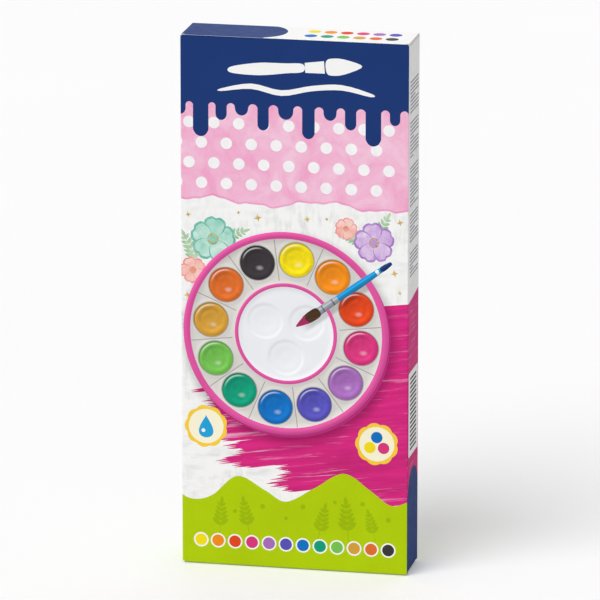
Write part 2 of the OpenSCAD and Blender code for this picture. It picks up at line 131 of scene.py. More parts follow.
def wrap_sleeve(u, v, depth):
    """Print sheet (u, v) to the carton, with the base flap folded under the front."""
    if v >= front_lo.z or abs(u) > FOLD_X:
        x, y = sleeve.at(u, depth)
        return x, y, v
    s = front_lo.z - v               # below the front: round the base fold, then under it
    if s <= FOLD_ARC:
        a = s / FOLD_R
        r = FOLD_R - depth
        return u, -FOLD_Y - r * cos(a), FOLD_R - r * sin(a)
    return u, -FOLD_Y + s - FOLD_ARC, depth


# Lid, seen from the right: w is 0 at the front edge of the lid's top face and runs backwards
ROOT_R = (lid_hi.z - lid_lo.z) / 2
CREASE_Y = lid_hi.y - ROOT_R
TOP_D = CREASE_Y - tab_lo.y - FOLD_R
LID_END = TOP_D + ROOT_R * pi


def wrap_lid(u, w, depth):
    """Print sheet (u, w) to the lid: tuck tab, fold, top face and the round root on the crease."""
    if w < -FOLD_ARC:
        return u, tab_lo.y + depth, CARTON_H - FOLD_R + w + FOLD_ARC
    if w < 0:
        a = -w / FOLD_R
        r = FOLD_R - depth
        return u, tab_lo.y + FOLD_R - r * sin(a), CARTON_H - FOLD_R + r * cos(a)
    if w <= TOP_D:
        return u, tab_lo.y + FOLD_R + w, CARTON_H - depth
    a = (w - TOP_D) / ROOT_R
    r = ROOT_R - depth
    return u, CREASE_Y + r * sin(a), CARTON_H - ROOT_R + r * cos(a)


# ---------- Materials as node trees ----------


def rgb(tint, factor=1.0):
    """Linear colour of an sRGB hex code, made darker or lighter by the factor."""
    out = []
    for k in (1, 3, 5):
        c = int(tint[k:k + 2], 16) / 255
        c = c / 12.92 if c <= 0.04045 else ((c + 0.055) / 1.055) ** 2.4
        out.append(min(c * factor, 1.0))
    return out


class Tree:
    """Shader nodes written as calls: a value that is a socket is linked, and any other is set."""

    def __init__(self, name, kind="materials"):
        self.owner = getattr(bpy.data, kind).new(name)
        self.owner.use_nodes = True
        self.nodes = self.owner.node_tree.nodes
        self.coords = self.add("TexCoord", {}).outputs
        self.place = self.coords["Object"]

    def fill(self, node, inputs):
        for key, value in inputs.items():
            socket = node.inputs[key]
            if isinstance(value, bpy.types.NodeSocket):
                self.owner.node_tree.links.new(value, socket)
            elif hasattr(socket.default_value, "__len__"):
                value = list(value)
                socket.default_value = value + [1.0] * (len(socket.default_value) - len(value))
            else:
                socket.default_value = value
        return node

    def add(self, kind, inputs, **props):
        node = self.nodes.new("ShaderNode" + kind)
        for key, value in props.items():
            setattr(node, key, value)
        return self.fill(node, inputs)

    def noise(self, scale, detail=3.0, roughness=0.5, vector=None, distortion=0.0):
        """Noise with about scale features to the millimetre."""
        inputs = {"Vector": vector or self.place, "Scale": scale / MM, "Detail": detail,
                  "Roughness": roughness, "Distortion": distortion}
        return self.add("TexNoise", inputs).outputs["Fac"]

    def ramp(self, value, low, high, to_low=0.0, to_high=1.0, curve="LINEAR"):
        """Maps low..high to to_low..to_high, and holds the ends."""
        inputs = {"Value": value, "From Min": low, "From Max": high, "To Min": to_low, "To Max": to_high}
        return self.add("MapRange", inputs, interpolation_type=curve).outputs["Result"]

    def soft(self, value, low, high, to_low=0.0, to_high=1.0):
        return self.ramp(value, low, high, to_low, to_high, "SMOOTHSTEP")

    def mix(self, factor, a, b):
        node = self.add("Mix", {0: factor}, data_type="RGBA")
        return self.fill(node, {6: a, 7: b}).outputs[2]

    def maths(self, operation, a, b=0.0, c=0.0):
        return self.add("Math", {0: a, 1: b, 2: c}, operation=operation).outputs[0]

    def plus(self, a, b):
        return self.maths("ADD", a, b)

    def minus(self, a, b):
        return self.maths("SUBTRACT", a, b)

    def times(self, a, b):
        return self.maths("MULTIPLY", a, b)

    def absolute(self, a):
        return self.maths("ABSOLUTE", a)

    def hypot(self, x, y):
        return self.maths("SQRT", self.plus(self.times(x, x), self.times(y, y)))

    def scaled(self, colour, factor):
        inputs = {0: colour, "Scale": factor}
        return self.add("VectorMath", inputs, operation="SCALE").outputs["Vector"]

    def axis(self, name):
        return self.add("SeparateXYZ", {0: self.place}).outputs[name]

    def stretched(self, scale, turn=(0, 0, 0), vector=None):
        """Coordinates turned and stretched, for grain that runs one way."""
        inputs = {"Vector": vector or self.place, "Rotation": turn, "Scale": scale}
        return self.add("Mapping", inputs).outputs[0]

    def bump(self, height, strength, distance_mm, normal=None):
        inputs = {"Height": height, "Strength": strength, "Distance": distance_mm * MM}
        if normal:
            inputs["Normal"] = normal
        return self.add("Bump", inputs).outputs["Normal"]

    def finish(self, colour, roughness, normal, specular=0.5, **others):
        """Gives the material its shader's inputs, and returns it."""
        inputs = {"Base Color": colour, "Roughness": roughness, "Normal": normal,
                  "Specular IOR Level": specular}
        inputs.update({key.replace("_", " "): value for key, value in others.items()})
        self.fill(self.nodes["Principled BSDF"], inputs)
        return self.owner


def fold_wear(t, colour):
    """Fibres that show where the coating cracks on the upright folds and the panels' ends."""
    spots = t.noise(0.9, 4.0, 0.7, t.stretched((1, 1, 0.45)))
    along_x = t.ramp(t.absolute(t.axis("X")), (FOLD_X + 0.12) * MM, (HALF_W - 0.1) * MM)
    along_y = t.ramp(t.absolute(t.axis("Y")), (FOLD_Y + 0.12) * MM, (HALF_D - 0.1) * MM)
    edge = t.times(along_x, along_y)
    crack = t.ramp(t.plus(spots, t.times(edge, 0.12)), 0.69, 0.75)
    crack = t.times(crack, t.ramp(edge, 0.02, 0.25))
    return t.mix(t.times(crack, 0.6), colour, rgb("#efeae4"))


def coated(t, colour, gloss=0.56):
    """Satin coating over printed board: faint tooth, soft sheets of unevenness, cracked folds."""
    roughness = t.ramp(t.noise(0.25, 3.0), 0.3, 0.7, gloss - 0.05, gloss + 0.06)
    normal = t.bump(t.noise(0.035, 2.0), 0.25, 0.5)
    normal = t.bump(t.noise(1.4, 4.0, 0.6), 0.16, 0.03, normal)
    return t.finish(fold_wear(t, colour), roughness, normal, specular=0.07)


# ---------- The palette pictured on the front: its places in millimetres, and its light ----------

PAL_X, PAL_Y = -4.0, 112.0
RING_OUT, RING_IN = 48.0, 22.6
PAN_RING = (35.4, 12, 82.0)          # ring of pans: radius, count, first one's angle
WELL_RING = (11.2, 3, 30.0)          # ring of mixing wells
BRUSH = (44.5, 147.5, 216.0)         # handle's end and direction
LIGHT = (-0.5, 0.87)                 # the pictured light comes from the upper left


def beside(t, x=PAL_X, y=PAL_Y):
    """How far a point of the front lies right of and above a place on it."""
    return (t.minus(t.maths("DIVIDE", t.axis("X"), MM), x),
            t.minus(t.maths("DIVIDE", t.axis("Z"), MM), y))


def on_ring(t, radius, count, first):
    """How far a point lies right of and above the nearest of some places round the palette."""
    x, y = beside(t)
    angle = t.maths("ARCTAN2", y, x)
    half = pi / count
    middle = t.minus(angle, t.maths("WRAP", t.minus(angle, radians(first)), half, -half))
    return (t.minus(x, t.times(t.maths("COSINE", middle), radius)),
            t.minus(y, t.times(t.maths("SINE", middle), radius)))


def lit(t, x, y):
    """1 on the side of a round form that the light comes from, and -1 on the far side."""
    towards = t.plus(t.times(x, LIGHT[0]), t.times(y, LIGHT[1]))
    return t.maths("DIVIDE", towards, t.maths("MAXIMUM", t.hypot(x, y), 0.3))


def relief(t, place, *slopes):
    """Pictured brightness of a round relief. A slope is its radius, its width and its strength,
    which is above 0 where the slope faces outwards."""
    radius, side = t.hypot(*place), lit(t, *place)
    bright = 1.0
    for at, width, strength in slopes:
        band = t.soft(t.absolute(t.minus(radius, at)), 0.0, width, strength, 0.0)
        bright = t.plus(t.times(band, side), bright)
    return bright


def on_brush(t, dx=0.0, dy=0.0):
    """How far a point of the front lies along the brush from its handle's end, and across it."""
    x, y = beside(t, BRUSH[0] + dx, BRUSH[1] + dy)
    c, s = cos(radians(BRUSH[2])), sin(radians(BRUSH[2]))
    return t.plus(t.times(x, c), t.times(y, s)), t.minus(t.times(y, c), t.times(x, s))


def brush_light(t):
    """Pictured light on the brush's round handle and ferrule: a bright line above, shade below."""
    _, across = on_brush(t)
    line = t.soft(t.absolute(t.plus(across, 0.55)), 0.0, 0.5, 0.6, 0.0)
    return t.plus(t.soft(across, -1.4, 1.9, 1.15, 0.55), line)


def brush_shadow(t, bright):
    """Brightness under the pictured shadow of the brush that lies across the palette."""
    along, across = on_brush(t, 1.5, -2.4)
    dark = t.soft(t.absolute(across), 0.9, 2.6, 0.32, 0.0)
    dark = t.times(dark, t.soft(along, -1.0, 2.0))
    dark = t.times(dark, t.soft(along, 46.0, 54.0, 1.0, 0.0))
    return t.times(bright, t.minus(1.0, dark))


def palette_shadow(t):
    """Pictured shadow that the palette throws on what is printed behind it, on the front alone."""
    far = t.hypot(*beside(t, PAL_X + 1.6, PAL_Y - 2.8))
    other_faces = t.ramp(t.axis("Y"), (1.0 - HALF_D) * MM, (2.0 - HALF_D) * MM, 0.0, 2 * RING_OUT)
    return t.soft(t.plus(far, other_faces), RING_OUT - 3.0, RING_OUT + 5.0, 0.5, 1.0)


def tray_light(t):
    return relief(t, beside(t), (RING_OUT - 0.3, 1.5, 0.30), (RING_OUT - 2.6, 1.3, -0.22),
                  (RING_IN + 1.2, 0.9, 0.25), (RING_IN - 0.3, 0.9, -0.22))


def insert_light(t):
    bright = relief(t, beside(t), (RING_OUT - 3.2, 3.5, -0.22), (RING_IN + 1.5, 2.5, 0.12))
    return brush_shadow(t, t.times(bright, relief(t, on_ring(t, *PAN_RING), (9.4, 1.4, 0.10))))


def tablet_light(t):
    place = on_ring(t, *PAN_RING)
    return brush_shadow(t, relief(t, place, (7.5, 1.2, 0.20), (5.4, 1.6, -0.28), (2.5, 2.6, -0.10)))


def dish_light(t):
    bright = relief(t, beside(t), (RING_IN - 0.4, 3.0, -0.16))
    wells = relief(t, on_ring(t, *WELL_RING), (7.9, 1.4, -0.15), (4.5, 3.4, -0.05))
    return brush_shadow(t, t.times(bright, wells))


# ---------- Inks ----------


def flat_ink(name, tint, uneven=0.05, shading=None):
    """Process ink laid flat, with a little unevenness and press grain."""
    t = Tree(name)
    cloud = t.ramp(t.noise(0.05), 0.3, 0.7)
    colour = t.mix(cloud, rgb(tint, 1 - uneven), rgb(tint, 1 + uneven))
    grain = t.ramp(t.noise(2.2, 2.0), 0.35, 0.75, 0.0, 0.10)
    colour = t.mix(grain, colour, rgb(tint, 0.80))
    return coated(t, t.scaled(colour, shading(t)) if shading else colour)


def tablet_ink(name, tint):
    """Pictured tablet of paint: dished, with a worked surface and soft gloss on its wet side."""
    t = Tree(name)
    x, y = on_ring(t, *PAN_RING)
    swirl = t.noise(0.16, 4.0, 0.6, distortion=1.4)
    colour = t.mix(t.ramp(swirl, 0.35, 0.65), rgb(tint, 0.90), rgb(tint, 1.06))
    colour = t.scaled(colour, tablet_light(t))
    pool = t.hypot(t.minus(x, 1.1), t.times(t.plus(y, 2.3), 1.5))
    gloss = t.soft(pool, 0.2, 2.4, 0.30, 0.0)
    rim = t.soft(t.absolute(t.minus(t.hypot(x, y), 6.9)), 0.1, 0.5, 0.5, 0.0)
    rim = t.times(rim, t.soft(lit(t, x, y), 0.6, 1.0))
    return coated(t, t.mix(t.plus(gloss, rim), colour, (0.92, 0.92, 0.94)))


def wash_ink(name, tint, pale, strength=0.75, scale=0.06):
    """Printed watercolour: blooms from a pale to a full tone, with granulation."""
    t = Tree(name)
    bloom = t.ramp(t.noise(scale, 6.0, 0.62, distortion=0.9), 0.36, 0.66, 1 - strength, 1.0)
    colour = t.mix(bloom, rgb(pale), rgb(tint))
    pools = t.ramp(t.noise(scale * 2.3, 5.0, 0.7, distortion=1.6), 0.52, 0.72, 0.0, 0.35)
    colour = t.mix(pools, colour, rgb(tint, 0.86))
    grain = t.ramp(t.noise(1.1, 3.0, 0.7), 0.48, 0.78, 0.0, 0.22)
    return coated(t, t.mix(grain, colour, rgb(pale)), 0.6)


def stroke_ink(name, tint, pale, tilt):
    """Printed dry brushwork: bristle streaks that run along the stroke, under the palette's shadow."""
    t = Tree(name)
    level = t.stretched((1, 1, 1), (0, radians(tilt), 0))
    run = t.stretched((0.05, 0.05, 1), vector=level)
    streak = t.ramp(t.noise(0.30, 5.0, 0.7, run), 0.38, 0.60)
    colour = t.mix(streak, rgb(tint, 0.74), rgb(tint))
    dry = t.ramp(t.noise(0.55, 4.0, 0.65, run), 0.57, 0.68, 0.0, 0.8)
    patchy = t.ramp(t.noise(0.05, 3.0), 0.40, 0.62, 0.25, 1.0)
    colour = t.mix(t.times(dry, patchy), colour, rgb(pale))
    cloud = t.ramp(t.noise(0.07, 4.0), 0.35, 0.7, 0.0, 0.3)
    colour = t.mix(cloud, colour, rgb(tint, 1.12))
    return coated(t, t.scaled(colour, palette_shadow(t)))


def paper_ink(name, tint, shadow):
    """Printed picture of brushed artist's paper: faint grey ridges, under the palette's shadow."""
    t = Tree(name)
    ridges = t.noise(0.42, 5.0, 0.62, t.stretched((1.0, 1.0, 0.30), (0, 0.2, 0)))
    cross = t.noise(0.30, 4.0, 0.6, t.stretched((0.28, 1.0, 1.0), (0, -0.25, 0)))
    patch = t.ramp(t.noise(0.045, 2.0), 0.4, 0.6)
    tone = t.ramp(t.mix(patch, ridges, cross), 0.46, 0.71, 0.0, 0.72)
    tone = t.times(tone, t.ramp(t.noise(0.03, 2.0), 0.35, 0.7, 0.25, 1.0))
    return coated(t, t.scaled(t.mix(tone, rgb(tint), rgb(shadow)), palette_shadow(t)), 0.6)


PAINTS = {
    "yellow": "#f8e11c", "orange": "#f4901f", "red": "#e54a22", "magenta": "#dc3b80",
    "violet": "#aa70bd", "ultramarine": "#5a55bb", "blue": "#1673c4", "turquoise": "#149d7a",
    "green": "#77c355", "ochre": "#d6a03e", "sienna": "#e0702f", "black": "#3d383b",
}
FLAT_INKS = {                        # colour, unevenness and pictured light
    "bare": ("#f8f7f6", 0.015),
    "white": ("#fbfbfa", 0.01),
    "navy": ("#1d3975", 0.04),
    "lime": ("#b3cf08", 0.035),
    "lime_dark": ("#9ebc06", 0.03),
    "cream": ("#fdf7da", 0.02),
    "yolk": ("#fbcf3f", 0.03),
    "sky": ("#26a3dc", 0.03),
    "grey": ("#9d9ca8", 0.05),
    "dark": ("#33333d", 0.05),
    "tray_pink": ("#e257a2", 0.05, tray_light),
    "tray_dark": ("#b92f7c", 0.05),
    "pan": ("#dcd9d5", 0.03, insert_light),
    "pan_dark": ("#aca7a3", 0.04, insert_light),
    "porcelain": ("#f1f2f6", 0.015, dish_light),
    "handle": ("#2196d2", 0.03, brush_light),
    "handle_end": ("#1f3974", 0.03, brush_light),
    "handle_band": ("#f4f4f2", 0.02, brush_light),
    "steel": ("#a7abb3", 0.05, brush_light),
    "steel_dark": ("#6d727c", 0.05, brush_light),
}
WASH_INKS = {                        # full and pale tone, strength, and features to the millimetre
    "pink": ("#f5a8cd", "#fad3e6"),
    "pink_rim": ("#ee93c0", "#f5b5d6"),
    "bubble": ("#f6f3f6", "#fdfcfc", 0.9, 0.12),
    "mint": ("#8fd3bd", "#d5f0e6", 0.95, 0.12),
    "mint_dark": ("#4fae9a", "#9bd6c6", 0.9, 0.15),
    "peach": ("#f7a59a", "#fcd9d0", 0.95, 0.12),
    "peach_dark": ("#ee7f78", "#f7b2aa", 0.9, 0.15),
    "lilac": ("#c295d8", "#ecd8f3", 0.95, 0.12),
    "lilac_dark": ("#9a68ba", "#c9a2dc", 0.9, 0.15),
    "sage": ("#8dbb8b", "#cde3c6", 0.9, 0.15),
    "gold": ("#b98f2c", "#e9cf7d", 0.9, 0.6),
}
INKS = {
    "ground": paper_ink("print_ground", "#fafaf9", "#c3c3c5"),
    "stroke": stroke_ink("print_stroke", "#dd2c84", "#f6bcd9", 8),
    "umber": stroke_ink("print_umber", "#6b4a34", "#a98366", 20),
}
for ink, looks in FLAT_INKS.items():
    INKS[ink] = flat_ink("print_" + ink, *looks)
for ink, looks in WASH_INKS.items():
    INKS[ink] = wash_ink("print_" + ink, *looks)
for paint, tint in PAINTS.items():
    channels = [int(tint[k:k + 2], 16) for k in (1, 3, 5)]
    darker = "#" + "".join(f"{int(c * 0.78):02x}" for c in channels)
    lighter = "#" + "".join(f"{int(c + (255 - c) * 0.24):02x}" for c in channels)
    INKS[paint + "_tablet"] = tablet_ink(f"print_{paint}_tablet", tint)
    for tone, tone_hex in (("", tint), ("_dark", darker), ("_light", lighter)):
        INKS[paint + tone] = flat_ink(f"print_{paint}{tone}", tone_hex)

# ---------- Shapes on the print sheet, in millimetres ----------

dice = random.Random(12)
DISC_SIDES = ((20, 72), (8, 48), (3, 32), (1, 20), (0, 12))     # above this radius, so many sides


def arc(x, y, rx, ry, start, end, n):
    """n + 1 points on an ellipse, between two angles in degrees."""
    angles = [radians(start + (end - start) * k / n) for k in range(n + 1)]
    return [(x + rx * cos(a), y + ry * sin(a)) for a in angles]


def placed(points, x, y, turn=0.0, size=1.0):
    c, s = cos(radians(turn)) * size, sin(radians(turn)) * size
    return [(x + px * c - py * s, y + px * s + py * c) for px, py in points]


def disc(x, y, r, n=0, squeeze=1.0, turn=0.0):
    n = n or next(sides for above, sides in DISC_SIDES if r > above)
    return placed(arc(0, 0, r, r * squeeze, 0, 360, n)[:-1], x, y, turn)


def block(x0, y0, x1, y1):
    return [(x0, y0), (x1, y0), (x1, y1), (x0, y1)]


def rounded(x0, y0, x1, y1, r):
    corners = ((x1 - r, y0 + r, -90), (x1 - r, y1 - r, 0), (x0 + r, y1 - r, 90), (x0 + r, y0 + r, 180))
    return [point for cx, cy, a in corners for point in arc(cx, cy, r, r, a, a + 90, 6)]


def both_sides(half):
    """A line of points on one side of the X axis, and the same points mirrored on the way back."""
    return half + [(x, -y) for x, y in half[::-1] if y]


def smooth(points, per, closed=True):
    """A smooth curve through the points, with per steps from each to the next."""
    before, after = (points[-1:], points[:2]) if closed else (points[:1], points[-1:])
    line = before + points + after
    out = []
    for p in zip(line, line[1:], line[2:], line[3:]):
        for j in range(per):
            s = j / per
            out.append(tuple(0.5 * (2 * p[1][k] + (p[2][k] - p[0][k]) * s
                                    + (2 * p[0][k] - 5 * p[1][k] + 4 * p[2][k] - p[3][k]) * s * s
                                    + (3 * p[1][k] - p[0][k] - 3 * p[2][k] + p[3][k]) * s ** 3)
                             for k in (0, 1)))
    return out if closed else out + [points[-1]]


def petal(length, width):
    """A petal that starts at the origin and points along +X, with a soft notch."""
    half = [(0, 0.06), (0.4, 0.42), (0.8, 0.48), (1, 0.2), (0.95, 0)]
    return smooth(both_sides([(x * length, y * width) for x, y in half]), 4)


def leaf(length, width):
    half = [(0, 0), (0.3, 0.42), (0.65, 0.38), (1, 0)]
    return smooth(both_sides([(x * length, y * width) for x, y in half]), 5)


def star(r, inner, tips=4):
    radii = [r if k % 2 == 0 else r * inner for k in range(2 * tips)]
    return [(q * cos(pi * k / tips), q * sin(pi * k / tips)) for k, q in enumerate(radii)]


def seal(x, y, r, lobe, lobes):
    """A round label with a scalloped edge."""
    n = 20 * lobes
    radii = [(pi * 2 * k / n, r + lobe * abs(sin(lobes * pi * k / n))) for k in range(n)]
    return [(x + q * cos(a), y + q * sin(a)) for a, q in radii]


def water_drop(width, height):
    """A drop with its tip up, about the middle of its height."""
    angles = [radians(9 * k) for k in range(40)]
    return [(width * sin(a) * abs(sin(a / 2)) ** 1.5, height * cos(a)) for a in angles]


def dry_stroke(x0, y0, x1, y1, width, ragged=11.0, lanes=20):
    """A dry brush stroke from (x0, y0) to (x1, y1): bristle lanes whose ends fall into clumps."""
    length = hypot(x1 - x0, y1 - y0)
    turn = degrees(atan2(y1 - y0, x1 - x0))
    pitch = width / lanes
    clump, left = [0.0, 0.0], 0
    out = []
    for k in range(lanes):
        if left == 0:
            clump = [dice.uniform(0, ragged), dice.uniform(0, 0.6 * ragged)]
            left = dice.choice((1, 2, 2, 3, 4))
        left -= 1
        mid = (k + 0.5) * pitch - width / 2
        late = 0.8 * ragged * abs(2 * mid / width) ** 4
        start = clump[0] + late + dice.uniform(-0.15, 0.25) * ragged
        end = length - clump[1] - 0.6 * late - dice.uniform(-0.1, 0.15) * ragged
        half = pitch * dice.uniform(0.50, 0.66)
        taper = dice.uniform(2.0, 7.0)
        top, low = [], []
        for j in range(11):
            along = start + (end - start) * j / 10
            if j in (1, 9):
                along = start + taper if j == 1 else end - taper
            thin = 0.12 if j in (0, 10) else 1.0
            lift = mid + 0.015 * length * sin(pi * along / length)
            top.append((along, lift + half * thin))
            low.append((along, lift - half * thin))
        out.append(placed(low + top[::-1], x0, y0, turn))
    return out


def drips(sides, line, runs):
    """The lower edge of wet paint between two u values: round-ended runs of (u, half width, drop)."""
    points, before = [(sides[0], line)], sides[0]
    for u, half, drop in runs + [(sides[1], 0, 0)]:
        gap = (u - half - before) / 2
        rise = min(gap, 3.0)
        points += arc(before + gap, line - rise, gap, rise, 180, 0, 8)
        if half:
            tip = min(1.15 * half, drop - rise)
            points += arc(u, line - drop + tip, half, tip, 180, 360, 8)
        before = u + half
    return points


def uneven(u0, u1, line, step=3.0):
    """A nearly level edge, as watered paint leaves it."""
    n = int((u1 - u0) / step)
    return [(u, line + 1.6 * sin(u / 8.5) + 0.7 * sin(u / 3.1 + 1) + 0.3 * sin(u / 1.3))
            for u in (u0 + (u1 - u0) * k / n for k in range(n + 1))]


def down_to(points, floor):
    """The area between a smooth line of points and a straight floor or ceiling."""
    line = smooth(points, 8, closed=False)
    return line + [(line[-1][0], floor), (line[0][0], floor)]


# ---------- Sheets, and the solids folded from them ----------


def planar_map(polygons, cuts):
    """Cuts overlapping polygons into one map: its points, and its triangles with their polygons."""
    points, faces, edges = [], [], []
    for polygon in polygons:
        turn = sum(p[0] * q[1] - q[0] * p[1] for p, q in zip(polygon, polygon[1:] + polygon[:1]))
        faces.append(list(range(len(points), len(points) + len(polygon))))
        points += [Vector(p) for p in (polygon if turn > 0 else polygon[::-1])]
    for a, b in cuts:
        edges.append((len(points), len(points) + 1))
        points += [Vector(a), Vector(b)]
    out = geometry.delaunay_2d_cdt(points, edges, faces, 1, 1e-5, True)
    flat = [(p.x, p.y) for p in out[0]]
    triangles = []
    for triangle, owners in zip(out[2], out[5]):
        a, b, c = (flat[k] for k in triangle)
        area = (b[0] - a[0]) * (c[1] - a[1]) - (b[1] - a[1]) * (c[0] - a[0])
        if owners and abs(area) > 1e-9:
            triangles.append((tuple(triangle) if area > 0 else tuple(triangle[::-1]), owners))
    return flat, triangles


class Sheet:
    """A print sheet: board strips, then shapes in painter's order, each with its piece and its ink."""

    def __init__(self, cuts, prefix):
        self.strips = []
        self.shapes = []
        self.cuts = cuts
        self.prefix = prefix

    def strip(self, polygon, board):
        """A part of the sheet that is board, or print alone where board is None."""
        self.strips.append((polygon, board))

    def lay(self, piece, ink, *polygons):
        for polygon in polygons:
            self.shapes.append((polygon, self.prefix + piece, ink))

    def board(self):
        """The map of the board, and each board piece's triangles."""
        strips = [s for s in self.strips if s[1]]
        flat, triangles = planar_map([polygon for polygon, _ in strips], self.cuts)
        pieces = {}
        for triangle, owners in triangles:
            pieces.setdefault(strips[owners[0]][1], []).append((triangle, "board"))
        return flat, pieces

    def print(self):
        """The map of the print, and each print piece's triangles, in the ink that was laid last."""
        first = len(self.strips)
        polygons = [polygon for polygon, _ in self.strips] + [shape[0] for shape in self.shapes]
        flat, triangles = planar_map(polygons, self.cuts)
        pieces = {}
        for triangle, owners in triangles:
            if min(owners) < first <= max(owners):
                _, piece, ink = self.shapes[max(owners) - first]
                pieces.setdefault(piece, []).append((triangle, ink))
        return flat, pieces


def add_object(name, data):
    """Puts a new object into the scene."""
    made = bpy.data.objects.new(name, data)
    bpy.context.scene.collection.objects.link(made)
    return made


def closed_shell(name, flat, triangles, wrap, depths, materials, edge):
    """A closed solid between two depths under the wrapped triangles, with a wall round every edge.
    The walls have the material edge, or their triangle's own where edge is None."""
    inks = sorted({ink for _, ink in triangles} | ({edge} if edge else set()))
    edge_of = {}
    for k, (t, _) in enumerate(triangles):
        for i in range(3):
            edge_of[t[i], t[(i + 1) % 3]] = k
    # Where two triangles share an edge, they share its ends' copies, so that pieces of ink that
    # only touch at a point stay apart
    owner = {(k, v): (k, v) for k, (t, _) in enumerate(triangles) for v in t}

    def root(c):
        while owner[c] != c:
            owner[c] = owner[owner[c]]
            c = owner[c]
        return c

    for (a, b), k in edge_of.items():
        other = edge_of.get((b, a))
        if other is not None and k < other:
            for v in (a, b):
                owner[root((k, v))] = root((other, v))
    index, points = {}, []

    def vertex(k, v):
        c = root((k, v))
        if c not in index:
            index[c] = len(points)
            for depth in depths:
                points.append([q * MM for q in wrap(*flat[v], depth)])
        return index[c]

    polygons, slots = [], []
    for k, (t, ink) in enumerate(triangles):
        a, b, c = (vertex(k, v) for v in t)
        polygons += [(a, b, c), (c + 1, b + 1, a + 1)]
        slots += [inks.index(ink)] * 2
        for i in range(3):
            p, q = t[i], t[(i + 1) % 3]
            if (q, p) not in edge_of:
                p, q = vertex(k, p), vertex(k, q)
                polygons.append((q, p, p + 1, q + 1))
                slots.append(inks.index(edge or ink))
    mesh = bpy.data.meshes.new(name)
    mesh.from_pydata(points, [], polygons)
    for ink in inks:
        mesh.materials.append(materials[ink])
    mesh.polygons.foreach_set("material_index", slots)
    mesh.polygons.foreach_set("use_smooth", [True] * len(polygons))
    mesh.set_sharp_from_angle(angle=radians(35))
    mesh.update()
    return add_object(name, mesh)


# ---------- The carton's print ----------

PAGE = (LEFT_U - 5, -30, END_U + 5, CARTON_H + 5)
carton_cuts = [((u, PAGE[1]), (u, PAGE[3])) for u in sleeve.cuts()]
carton_cuts += [((-FOLD_X, v), (FOLD_X, v)) for v in fold_cuts(front_lo.z - FOLD_ARC)]
print_sheet = Sheet(carton_cuts, "print_")
lay = print_sheet.lay

# Board strips: each panel's and each fold's own height
for u0, v0, u1, v1, board in (
    (-FOLD_X, front_lo.z, FOLD_X, front_hi.z, "front_board"),
    (base_lo.x, front_lo.z - FOLD_ARC - (base_hi.y + FOLD_Y), base_hi.x, front_lo.z, "base_board"),
    (-RIGHT_U, side_lo.z, -RIGHT_U + FOLD_ARC, side_hi.z, "left_board"),
    (FOLD_X, side_lo.z, RIGHT_U, side_hi.z, "right_board"),
    (RIGHT_END, side_lo.z, BACK_U, side_hi.z, "right_board"),
    (LEFT_U - FOLD_ARC, SIDE_Z0, -RIGHT_U, SIDE_Z1, "left_board"),
    (RIGHT_U, SIDE_Z0, RIGHT_END, SIDE_Z1, "right_board"),
    (BACK_U, back_lo.z, END_U, back_hi.z, "back_board"),
):
    print_sheet.strip(block(u0, v0, u1, v1), board)

SPRIG_PAIRS, SPRIG_STEP, SPRIG_ANGLE = 5, 2.4, 48


def sprig(x, y, turn, size, piece="flowers", ink="sage"):
    """A stem with pairs of leaves that shorten towards its tip."""
    tip = SPRIG_STEP * SPRIG_PAIRS
    c, s = cos(radians(turn)) * size, sin(radians(turn)) * size
    for k in range(SPRIG_PAIRS):
        along = SPRIG_STEP * k
        for side in (-SPRIG_ANGLE, SPRIG_ANGLE):
            blade = leaf(5.2 - 0.6 * k, 2.4 - 0.2 * k)
            lay(piece, ink, placed(blade, x + along * c, y + along * s, turn + side, size))
    lay(piece, ink, placed(leaf(4.2, 1.9), x + (tip - 1.5) * c, y + (tip - 1.5) * s, turn, size))
    lay(piece, ink, placed(block(-5, -0.16, tip, 0.16), x, y, turn, size))


def flower(ink, x, y, r, turn, petals=5, stamens=7):
    for k in range(petals):
        a = turn + 360 * k / petals
        lay("flowers", ink + "_dark", placed(petal(r, r * 0.98), x, y, a))
        lay("flowers", ink, placed(petal(r * 0.9, r * 0.82), x, y, a))
    lay("flowers", ink + "_dark", disc(x, y, r * 0.26))
    for k in range(stamens):
        a = radians(turn + 360 * k / stamens)
        lay("flowers", "gold", disc(x + r * 0.2 * cos(a), y + r * 0.2 * sin(a), r * 0.055))


def small_print(x0, x1, top, rows, pitch=1.75, height=0.8):
    """Rows of bars where small print would be, each fifth one short."""
    for k in range(rows):
        y = top - k * pitch
        right = x1 if (k + 1) % 5 else x0 + (x1 - x0) * dice.uniform(0.35, 0.7)
        lay("bars", "grey", block(x0, y - height, right, y))


# Ground on every face, bare under the base
lay("ground", "ground", block(*PAGE))
lay("ground", "bare", block(-60, PAGE[1], 60, -2.5))

# The washes, the header and the meadow cover the left side with the front, and the back. Every
# upright edge that they end on lies in the middle of its fold.
FRONT_END, BACK_START = FOLD_X + FOLD_ARC / 2, BACK_U - FOLD_ARC / 2
OFF_LEFT, OFF_RIGHT = LEFT_U - 4, END_U + 4
STRETCHES = ((OFF_LEFT, FRONT_END), (BACK_START, OFF_RIGHT))

# Pink wash with white spots
WASH_Z, WASH_RIM, UNDER_HEADER = 173.0, 0.9, 240
for stretch in STRETCHES:
    lay("pink", "pink_rim", down_to(uneven(*stretch, WASH_Z), UNDER_HEADER))
    lay("pink", "pink", down_to(uneven(*stretch, WASH_Z + WASH_RIM), UNDER_HEADER))
SPOT_STEP, SPOT_ROW, SPOT_R = 11.6, 9.4, 2.7
for row in range(4):
    for column in range(24):
        u = OFF_LEFT + 2.4 + SPOT_STEP * (column + row % 2 / 2)
        if u < FRONT_END - 4 or u > BACK_START + 4:
            lay("spots", "bubble", disc(u, WASH_Z + 8.4 + SPOT_ROW * row, SPOT_R, 32))

